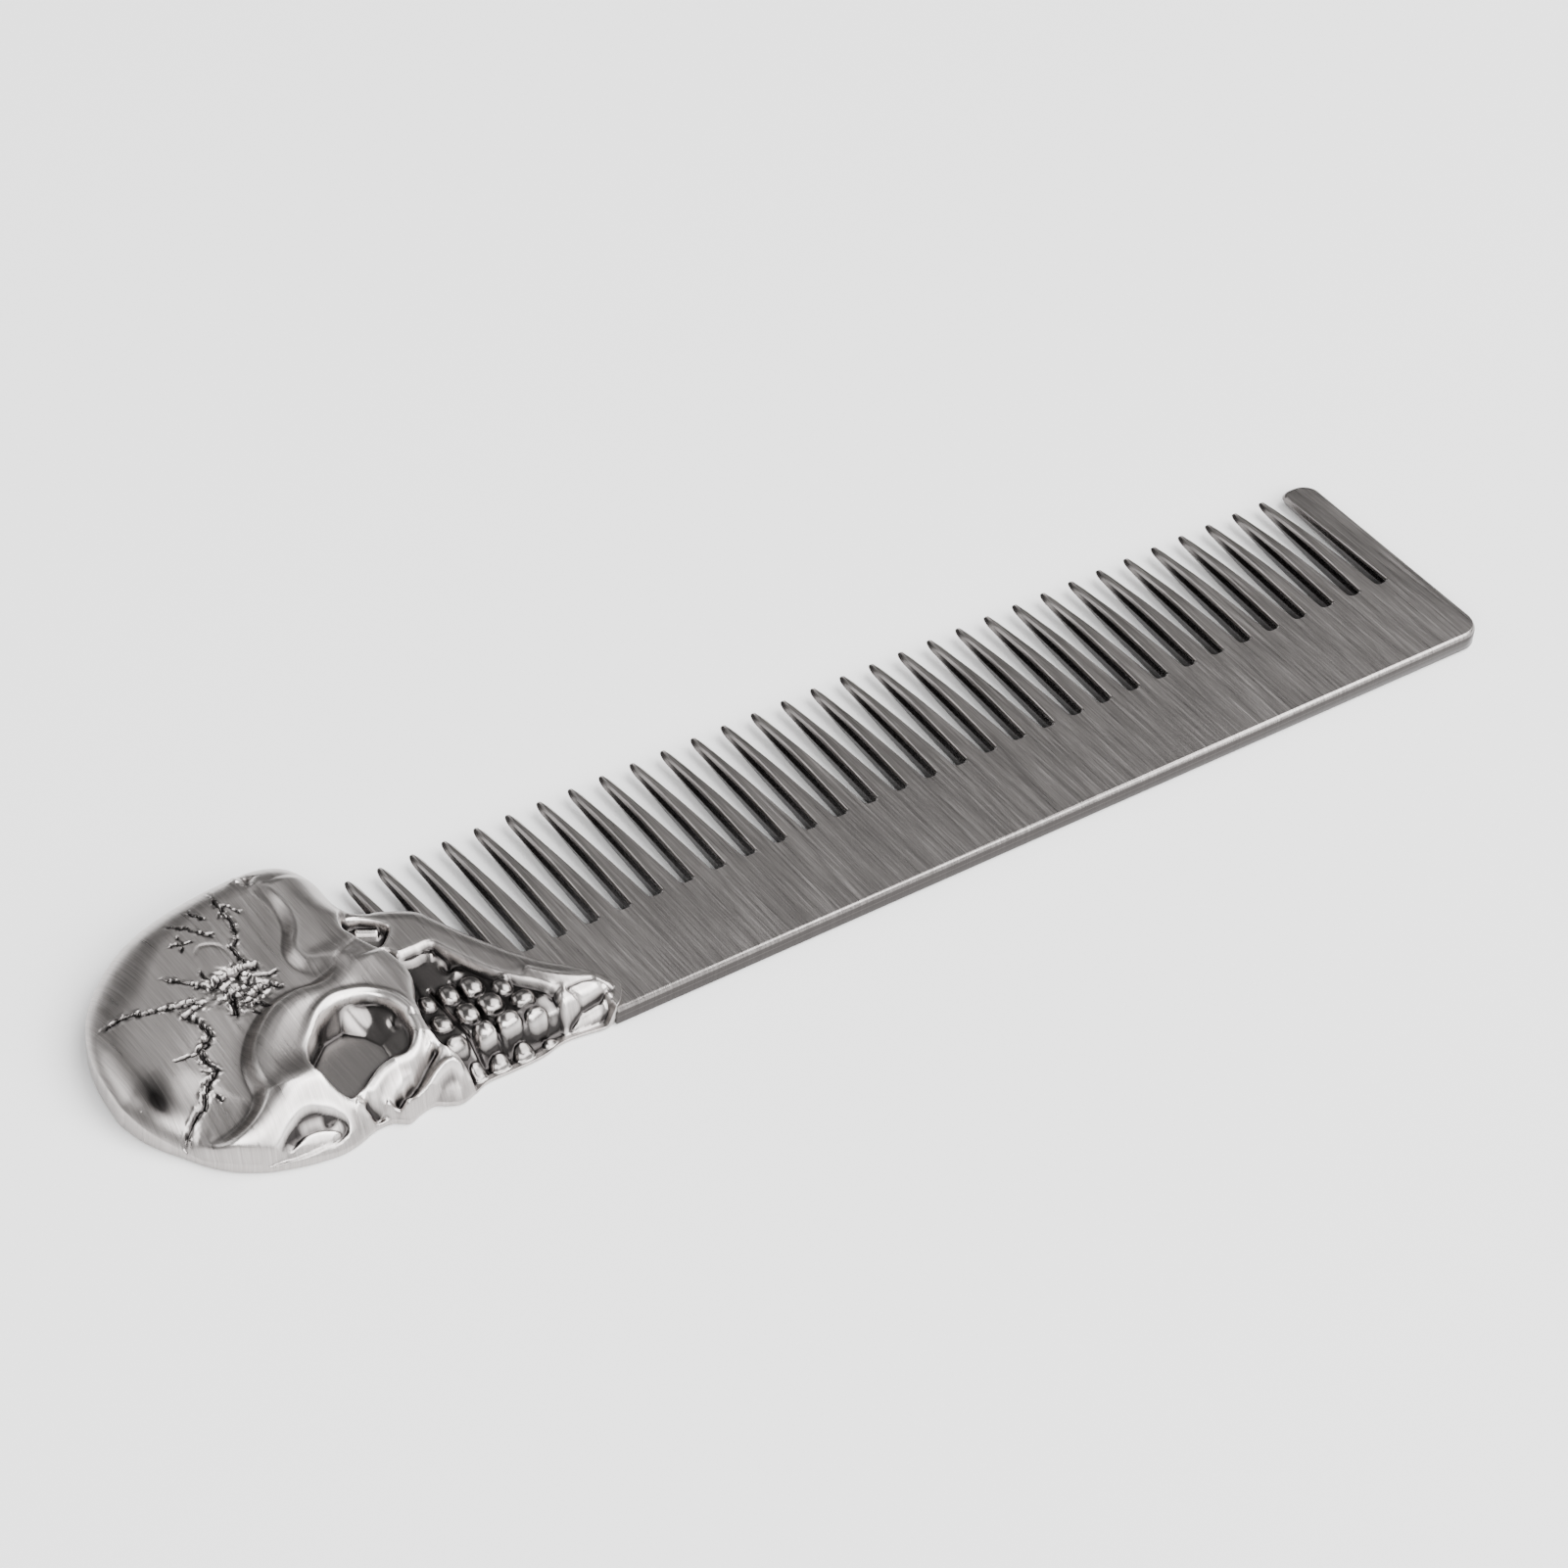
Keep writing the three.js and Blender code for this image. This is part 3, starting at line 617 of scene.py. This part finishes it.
def tooth_half_width(y):
    """Straight taper from root to neck, then half an ellipse to the tip."""
    neck = TOOTH_LENGTH - TIP_LENGTH
    taper = TOOTH_ROOT + (TOOTH_NECK - TOOTH_ROOT) * y / neck
    tip = TOOTH_NECK * np.sqrt(np.clip(1 - ((y - neck) / TIP_LENGTH) ** 2, 0, None))
    return np.where(y <= neck, taper, tip)


def left_over(y):
    """Share of the plate's thickness that is left at height y: it falls off as a square towards the tips."""
    return 1 - TIP_THINNING * np.clip((y - THINNING_FROM) / (TOOTH_LENGTH - THINNING_FROM), 0, 1) ** 2


FLANK = np.concatenate([
    np.linspace(SLOT_CORNER, TOOTH_LENGTH - TIP_LENGTH, 16),
    TOOTH_LENGTH - TIP_LENGTH * (1 - np.sin(np.radians([12, 24, 36, 48, 58, 67, 75, 82]))),
])


def flank(share):
    """One side of a tooth as (half width, y) from the slot corner to just below the tip. The bevel that it
    stands in by is half a millimetre wide at the neck and narrows towards the root, times the share."""
    bevel = 0.16 + 0.36 * np.clip(FLANK / (TOOTH_LENGTH - TIP_LENGTH), 0, 1)
    half = tooth_half_width(FLANK)
    y = FLANK * (1 - 2 * ROOT_BEVEL * share / TOOTH_LENGTH)
    y[0] = SLOT_CORNER - ROOT_BEVEL * share
    return np.column_stack([np.maximum(half - bevel * share, 0.12 * half), y])


def shut_first_slot(tooth, top, inset):
    """The first tooth has the tang beside it: the low part of its far flank runs along the tang's top edge
    instead, and the slot's corner becomes the tang's."""
    low = np.flatnonzero(FLANK < TANG_TOP + 0.2)
    turn = arc(TANG_END + inset + TANG_CORNER, top - TANG_CORNER, TANG_CORNER, 90, 180, CORNER_STEPS)
    along = CORNER_STEPS + 2 * len(FLANK) - low
    tooth[along, 0] = np.linspace(turn[0, 0], tooth[along[-1], 0], len(low))
    tooth[along, 1] = top
    tooth[-CORNER_STEPS:] = turn[1:]


def blade_ring(side, share, spine_inset):
    """The blade's outline at one level, counter-clockwise from the shoulder, standing in at teeth and spine, with
    the number of points before the teeth and the number on each tooth."""
    tooth_inset = ROOT_BEVEL * share
    end = GUARD_END - spine_inset
    top = GUARD_TOP - tooth_inset
    pieces = [
        [(TANG_SHOULDER + 0.1, -SPINE + spine_inset)],
        arc(GUARD_END - 2.2, 2.2 - SPINE, 2.2 - spine_inset, -90, 0, 12),
        arc(end - 1.5, top - 1.5, 1.5, 0, 90, 10),
        arc(GUARD_FROM + tooth_inset + 0.8, top - 0.8, 0.8, 90, 180, GUARD_CORNER_STEPS),
    ]
    side_points = flank(share)
    root = side_points[0, 0]
    corner_y = SLOT_CORNER - tooth_inset
    tooth = np.vstack([
        arc(root + SLOT_CORNER, corner_y, SLOT_CORNER, -90, -180, CORNER_STEPS)[:-1],
        side_points,
        [(0, TOOTH_LENGTH - 2 * tooth_inset)],
        (side_points * (-1, 1))[::-1],
        arc(-root - SLOT_CORNER, corner_y, SLOT_CORNER, 0, -90, CORNER_STEPS)[1:],
    ])
    pieces.append(arc(GUARD_FROM + tooth_inset - SLOT_CORNER, corner_y, SLOT_CORNER, 0, -90, CORNER_STEPS))
    before_teeth = sum(len(p) for p in pieces)
    teeth = tooth[None] + np.column_stack([np.arange(TEETH)[::-1] * PITCH, np.zeros(TEETH)])[:, None]
    shut_first_slot(teeth[-1], TANG_TOP - tooth_inset, tooth_inset)
    pieces.append(teeth.reshape(-1, 2))
    low = TANG_BOTTOM + tooth_inset
    tang_corner = TANG_END + tooth_inset + TANG_CORNER
    pieces.append(arc(tang_corner, low + TANG_CORNER, TANG_CORNER, 180, 270, CORNER_STEPS))
    pieces.append([(TANG_SHOULDER + 0.1, low)])
    xy = np.vstack([np.asarray(p, float) for p in pieces])
    z = 0.5 * PLATE * (1 + side * left_over(xy[:, 1]))
    return np.column_stack([xy, z]), before_teeth, len(tooth)


# Levels of the blade's edge: share of the half thickness, share of the teeth's bevel, the spine's inset, and
# how dark the edge's walls are there: patina on the teeth's walls, and painted shade on the spine's and guard's outer
# walls.
LEVELS = [
    (-1.0, 1.0, 0.25, 0.0), (-0.95, 0.8, 0.12, 0.4), (-0.8, 0.6, 0.0, 1.0), (-0.06, 0.08, 0.0, 1.0),
    (0.0, 0.0, 0.0, 0.8), (0.06, 0.08, 0.0, 1.0), (0.5, 0.36, 0.0, 1.0), (0.6, 0.46, 0.06, 0.35),
    (0.78, 0.7, 0.12, 0.1), (1.0, 1.0, 0.30, 0.0),
]


def fine_blade():
    """The blade as rings of its outline at ten levels of its edge, with a strip of faces across every tooth."""
    rings = [blade_ring(*level[:3]) for level in LEVELS]
    first, tooth = rings[0][1], rings[0][2]
    points = np.vstack([r[0] for r in rings])
    n = len(rings[0][0])
    i = np.arange(n)
    walls = [np.stack([k * n + i, k * n + (i + 1) % n, (k + 1) * n + (i + 1) % n, (k + 1) * n + i], 1)
             for k in range(len(LEVELS) - 1)]

    # Each tooth's strip joins the two flanks point by point, up to the tip.
    per_side = len(FLANK)
    right = CORNER_STEPS + np.arange(per_side)
    tip = CORNER_STEPS + per_side
    left = tip + per_side - np.arange(per_side)
    starts = first + np.arange(TEETH) * tooth
    strips = np.stack([right[:-1], right[1:], left[1:], left[:-1]], 1)
    strips = (strips[None] + starts[:, None, None]).reshape(-1, 4)
    tips = np.stack([right[-1] + starts, tip + starts, left[-1] + starts], 1)
    keep = np.ones(n, bool)
    skip = np.concatenate([right[1:], [tip], left[1:]])
    keep[(starts[:, None] + skip[None]).ravel()] = False
    plate = np.flatnonzero(keep)
    top = (len(LEVELS) - 1) * n
    faces = np.concatenate(walls).tolist()
    flat = (strips[:, ::-1]).tolist() + (tips[:, ::-1]).tolist() + [plate[::-1].tolist()]
    flat += (strips + top).tolist() + (tips + top).tolist() + [(plate + top).tolist()]
    piece = piece_from("fine_blade", points, faces, flat)
    in_slot = i >= first - (CORNER_STEPS + 1) - GUARD_CORNER_STEPS
    # The edge's walls are painted darker: patina along the teeth's walls, heaviest near their roots, and painted
    # shade on the spine's and guard's outer walls.
    painted_wall_shade_and_slot_patina = np.where(in_slot, 0.3 * (1 - 0.7 * ramp((points[:n, 1] - 9) / 6)), 0.22)
    give(piece, "patina_and_painted_shade", np.concatenate([level[3] * painted_wall_shade_and_slot_patina for level in LEVELS]))
    give(piece, "unbrushed", np.concatenate([np.full(n, float(-1 < level[0] < 0.55)) for level in LEVELS]))
    return piece


def drilled(piece):
    """Cuts the rivets' countersunk holes out of a piece, from the back, by exact Boolean difference: each is a
    stack of rings, wide below the head's edge, then a cone, then the shank's round bore."""
    turn = np.linspace(0, 2 * math.pi, HOLE_SIDES, endpoint=False)
    points, faces, ends = [], [], []
    for cx, cy in RIVETS.values():
        rings = []
        for z, r in RIVET_HOLE:
            rings.append(np.arange(HOLE_SIDES) + len(points) * HOLE_SIDES)
            points.append(np.column_stack([cx + r * np.cos(turn), cy + r * np.sin(turn), np.full(HOLE_SIDES, z)]))
        for lower, upper in zip(rings, rings[1:]):
            faces += ring_strip(upper, lower).tolist()
        ends += [rings[0][::-1].tolist(), rings[-1].tolist()]
    cutter = piece_from("rivet_holes", np.vstack(points), faces, ends)
    cut = piece.modifiers.new("rivet_holes", "BOOLEAN")
    cut.operation, cut.solver, cut.object = "DIFFERENCE", "EXACT", cutter
    graph = bpy.context.evaluated_depsgraph_get()
    result = piece.evaluated_get(graph)
    mesh = bpy.data.meshes.new_from_object(result, preserve_all_data_layers=True, depsgraph=graph)
    piece.modifiers.clear()
    piece.data = mesh
    bpy.data.objects.remove(cutter)
    return piece


# ---- materials ----------------------------------------------------------------------------------
def new_material(name):
    """An empty node material with its Principled shader joined to the output."""
    material = bpy.data.materials.new(name)
    material.use_nodes = True
    tree = material.node_tree
    tree.nodes.clear()
    out = tree.nodes.new("ShaderNodeOutputMaterial")
    shader = tree.nodes.new("ShaderNodeBsdfPrincipled")
    tree.links.new(shader.outputs[0], out.inputs[0])
    return material, tree, shader


def brushed_noise(tree, across, along, detail):
    """Noise drawn out along Y: fine lines across X, long ones along the teeth, in lines per metre."""
    place = tree.nodes.new("ShaderNodeTexCoord")
    stretch = tree.nodes.new("ShaderNodeMapping")
    stretch.inputs["Scale"].default_value = (across, along, along)
    noise = tree.nodes.new("ShaderNodeTexNoise")
    noise.inputs["Scale"].default_value = 1.0
    noise.inputs["Detail"].default_value = detail
    noise.inputs["Roughness"].default_value = 0.6
    tree.links.new(place.outputs["Object"], stretch.inputs["Vector"])
    tree.links.new(stretch.outputs[0], noise.inputs["Vector"])
    return noise.outputs["Fac"]


def spread(tree, value, low, high, to_low, to_high):
    """Maps a value from one range to another, held at the ends."""
    node = tree.nodes.new("ShaderNodeMapRange")
    for slot, number in zip(("From Min", "From Max", "To Min", "To Max"), (low, high, to_low, to_high)):
        node.inputs[slot].default_value = number
    tree.links.new(value, node.inputs["Value"])
    return node.outputs[0]


def blend(tree, amount, first, second):
    """Mixes two colours, each a plain colour or another node's socket, by an amount from 0 to 1."""
    node = tree.nodes.new("ShaderNodeMix")
    node.data_type = "RGBA"
    tree.links.new(amount, node.inputs[0])
    for slot, colour in ((6, first), (7, second)):
        if isinstance(colour, tuple):
            node.inputs[slot].default_value = (*colour, 1)
        else:
            tree.links.new(colour, node.inputs[slot])
    return node.outputs[2]


def vertex_mark(tree, name):
    """The number that give() stored under a name."""
    node = tree.nodes.new("ShaderNodeAttribute")
    node.attribute_name = name
    return node.outputs["Fac"]


UNBRUSHED = (0.22, 0.206, 0.2)
BRIGHT_STREAK = (0.74, 0.70, 0.68)
POLISH = (0.78, 0.745, 0.725)
# The patina colour also paints shade: on the blade's outer walls, low on the temple, and as a dark reflection on the
# crown's shoulder.
PATINA_AND_PAINTED_SHADE = (0.02, 0.018, 0.018)


def antique_metal(name, light, dark):
    """Antique silver: brushed lines in colour, bump and roughness between a light and a dark tone, dark patina in
    the hollows with painted shade in the same mark, and a polish on the high places."""
    material, tree, shader = new_material(name)
    shader.inputs["Metallic"].default_value = 1.0
    fine = brushed_noise(tree, 9500, 190, 3)
    streaks = brushed_noise(tree, 4200, 130, 4)
    cloud = brushed_noise(tree, 130, 130, 2)
    patina_and_painted_shade = vertex_mark(tree, "patina_and_painted_shade")
    unbrushed = vertex_mark(tree, "unbrushed")

    colour = blend(tree, spread(tree, fine, 0.32, 0.68, 0.1, 0.9), light, dark)
    colour = blend(tree, spread(tree, streaks, 0.56, 0.76, 0.0, 0.3), colour, BRIGHT_STREAK)
    colour = blend(tree, spread(tree, cloud, 0.35, 0.7, 0.0, 0.3), colour, dark)
    colour = blend(tree, spread(tree, unbrushed, 0.1, 1.0, 0.0, 0.7), colour, UNBRUSHED)
    colour = blend(tree, spread(tree, patina_and_painted_shade, -0.01, -0.16, 0.0, 0.7), colour, POLISH)
    # Patina in the hollows and painted shade, read from the same mark, darken the colour alike.
    colour = blend(tree, spread(tree, patina_and_painted_shade, 0.02, 0.26, 0.0, 0.95), colour, PATINA_AND_PAINTED_SHADE)
    tree.links.new(colour, shader.inputs["Base Color"])

    rough = tree.nodes.new("ShaderNodeMix")
    tree.links.new(unbrushed, rough.inputs[0])
    tree.links.new(spread(tree, streaks, 0.3, 0.7, 0.27, 0.38), rough.inputs[2])
    rough.inputs[3].default_value = 0.25
    tree.links.new(rough.outputs[0], shader.inputs["Roughness"])

    bump = tree.nodes.new("ShaderNodeBump")
    bump.inputs["Distance"].default_value = 0.00002
    tree.links.new(spread(tree, unbrushed, 0.0, 0.8, 0.4, 0.04), bump.inputs["Strength"])
    tree.links.new(fine, bump.inputs["Height"])
    tree.links.new(bump.outputs[0], shader.inputs["Normal"])
    return material


def put(piece, material):
    """Makes the material the piece's only one."""
    piece.data.materials.clear()
    piece.data.materials.append(material)


# ---- the pieces in place --------------------------------------------------------------------------
BLADE_METAL = antique_metal("brushed antique silver", (0.42, 0.393, 0.381), (0.2, 0.187, 0.182))
SKULL_METAL = antique_metal("antique silver casting", (0.54, 0.505, 0.49), (0.32, 0.299, 0.29))
RIVET_METAL = antique_metal("filed rivet metal", (0.55, 0.54, 0.53), (0.40, 0.39, 0.38))

blade = drilled(fine_blade())
put(blade, BLADE_METAL)
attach(blade, "root")
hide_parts("comb_blade")

skull = drilled(skull_relief())
put(skull, SKULL_METAL)
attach(skull, "root")
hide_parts("skull_casting")

for node in RIVETS:
    put(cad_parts[node], RIVET_METAL)


# ---- floor, camera and lights -----------------------------------------------------------------------
def pale_floor():
    """A wide flat sheet just under the comb."""
    half, z = 3.0, -0.00005
    mesh = bpy.data.meshes.new("floor")
    corners = [(-half, -half, z), (half, -half, z), (half, half, z), (-half, half, z)]
    mesh.from_pydata(corners, [], [(0, 1, 2, 3)])
    floor = bpy.data.objects.new("floor", mesh)
    bpy.context.scene.collection.objects.link(floor)
    material, _, shader = new_material("pale floor")
    shader.inputs["Base Color"].default_value = (0.93, 0.93, 0.93, 1)
    shader.inputs["Roughness"].default_value = 0.9
    put(floor, material)


def studio_camera():
    """A long lens that looks down at the comb's middle from the skull's side."""
    azimuth, elevation, roll = math.radians(39.87), math.radians(41.56), math.radians(6.03)
    forward = Vector((
        math.sin(azimuth) * math.cos(elevation), math.cos(azimuth) * math.cos(elevation), -math.sin(elevation),
    ))
    level = forward.cross(Vector((0, 0, 1))).normalized()
    upright = level.cross(forward)
    right = level * math.cos(roll) + upright * math.sin(roll)
    up = right.cross(forward)
    aim = Vector((ORIGIN[0] + 37.95, ORIGIN[1] + 5.58, PLATE)) * MM
    distance = 0.4557
    data = bpy.data.cameras.new("camera")
    data.lens = 122.6
    data.sensor_width = 36
    data.clip_start = 0.01
    camera = bpy.data.objects.new("camera", data)
    camera.matrix_world = Matrix.Translation(aim - forward * distance) @ Matrix((
        (right.x, up.x, -forward.x), (right.y, up.y, -forward.y), (right.z, up.z, -forward.z),
    )).to_4x4()
    bpy.context.scene.collection.objects.link(camera)
    bpy.context.scene.camera = camera


def softbox(name, azimuth, elevation, distance, width, height, watts):
    """A rectangular light that faces the comb from an azimuth (0 is +Y, towards +X) and an elevation."""
    a, e = math.radians(azimuth), math.radians(elevation)
    away_from = Vector((math.sin(a) * math.cos(e), math.cos(a) * math.cos(e), math.sin(e)))
    data = bpy.data.lights.new(name, "AREA")
    data.shape = "RECTANGLE"
    data.size, data.size_y = width, height
    data.energy = watts
    light = bpy.data.objects.new(name, data)
    light.location = away_from * distance
    light.rotation_euler = away_from.to_track_quat("Z", "Y").to_euler()
    bpy.context.scene.collection.objects.link(light)


def studio():
    """A dim grey room: a wide bright softbox overhead, two on the comb's near side, and fainter panels on its left,
    beyond its guard tooth and beyond its teeth."""
    world = bpy.data.worlds.new("studio")
    world.use_nodes = True
    world.node_tree.nodes["Background"].inputs[0].default_value = (1, 1, 1, 1)
    world.node_tree.nodes["Background"].inputs[1].default_value = 0.155
    bpy.context.scene.world = world
    softbox("overhead", 120, 60, 1.5, 1.6, 1.35, 50)
    softbox("near", -142, 36, 1.5, 1.2, 0.7, 25)
    softbox("near_right", 158, 29, 1.3, 1.5, 0.7, 27)
    softbox("left", -56, 26, 1.3, 0.9, 0.5, 4)
    softbox("back", 80, 30, 1.3, 0.9, 0.7, 1.8)
    softbox("far", 6, 50, 1.4, 0.9, 0.5, 1.1)


pale_floor()
studio_camera()
studio()

bpy.context.view_layer.update()
